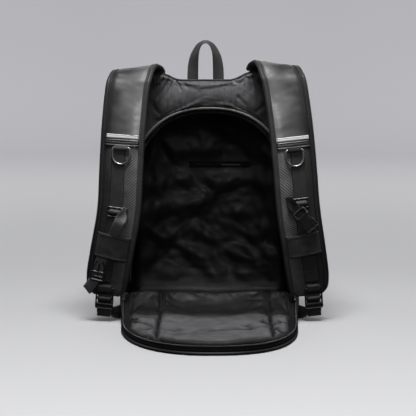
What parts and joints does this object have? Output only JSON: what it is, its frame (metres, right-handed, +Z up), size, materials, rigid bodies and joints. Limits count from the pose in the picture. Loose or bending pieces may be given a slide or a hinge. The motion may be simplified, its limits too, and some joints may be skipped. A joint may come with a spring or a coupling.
{
  "type": "backpack",
  "caption": "Soft waterproof backpack standing open: padded harness, arched zip opening, back panel folded down as a flap, webbing handle, shoulder straps with rings and buckles.",
  "frame": {"origin": "middle of the bag's base, on the surface that it stands on", "axes": "+Z up, the wearer's side and the folded flap towards -Y"},
  "size_m": [0.4502, 0.5809, 0.5143],
  "materials": {
    "shell_fabric": "black laminated polyester",
    "coated_nylon": "black satin coated nylon",
    "lining_fabric": "black glossy lining",
    "strap_fabric": "black leatherette and twill",
    "webbing": "black woven webbing",
    "elastic": "black elastic",
    "reflective_tape": "silver reflective tape",
    "grey_piping": "grey piping",
    "dark_piping": "dark piping",
    "zip_tape": "black zip tape",
    "moulded_plastic": "black moulded acetal",
    "gunmetal": "dark plated metal"
  },
  "bodies": {
    "pack": {"gusset": "shell_fabric", "base_panel": "shell_fabric", "outer_panel": "shell_fabric", "lining": "lining_fabric", "back_panel": "coated_nylon", "opening_piping": "grey_piping", "opening_zip": "zip_tape", "flap": "coated_nylon", "flap_lining": "lining_fabric", "flap_zip": "zip_tape", "flap_piping": "dark_piping", "handle": "webbing", "strap_left": "strap_fabric", "strap_right": "strap_fabric", "reflector_left": "reflective_tape", "reflector_right": "reflective_tape", "hem_band_left": "strap_fabric", "hem_band_right": "strap_fabric", "ring_tab_left": "webbing", "ring_tab_right": "webbing", "strap_webbing_left": "webbing", "strap_webbing_right": "webbing", "keeper_left": "elastic", "keeper_right": "elastic", "sternum_slider_left": "moulded_plastic", "sternum_slider_right": "moulded_plastic", "sternum_webbing_left": "webbing", "sternum_webbing_right": "webbing", "buckle_prongs": "moulded_plastic", "buckle_socket": "moulded_plastic", "ladder_lock_left": "moulded_plastic", "ladder_lock_right": "moulded_plastic", "ladder_tab_left": "webbing", "ladder_tab_right": "webbing", "lower_webbing_left": "webbing", "lower_webbing_right": "webbing", "zip_slider_left": "gunmetal", "zip_slider_right": "gunmetal"},
    "ring_left": {"d_ring_left": "gunmetal"},
    "ring_right": {"d_ring_right": "gunmetal"}
  },
  "joints": [
    {"name": "ring_left_swing", "type": "hinge", "parent": "pack", "child": "ring_left", "pos_m": [-0.15729, -0.20062, 0.32525], "axis": [-0.9941, 0.0908, 0.0587], "range_deg": [0, 150]},
    {"name": "ring_right_swing", "type": "hinge", "parent": "pack", "child": "ring_right", "pos_m": [0.15109, -0.20075, 0.32125], "axis": [-0.9912, -0.0914, -0.0954], "range_deg": [0, 150]}
  ]
}
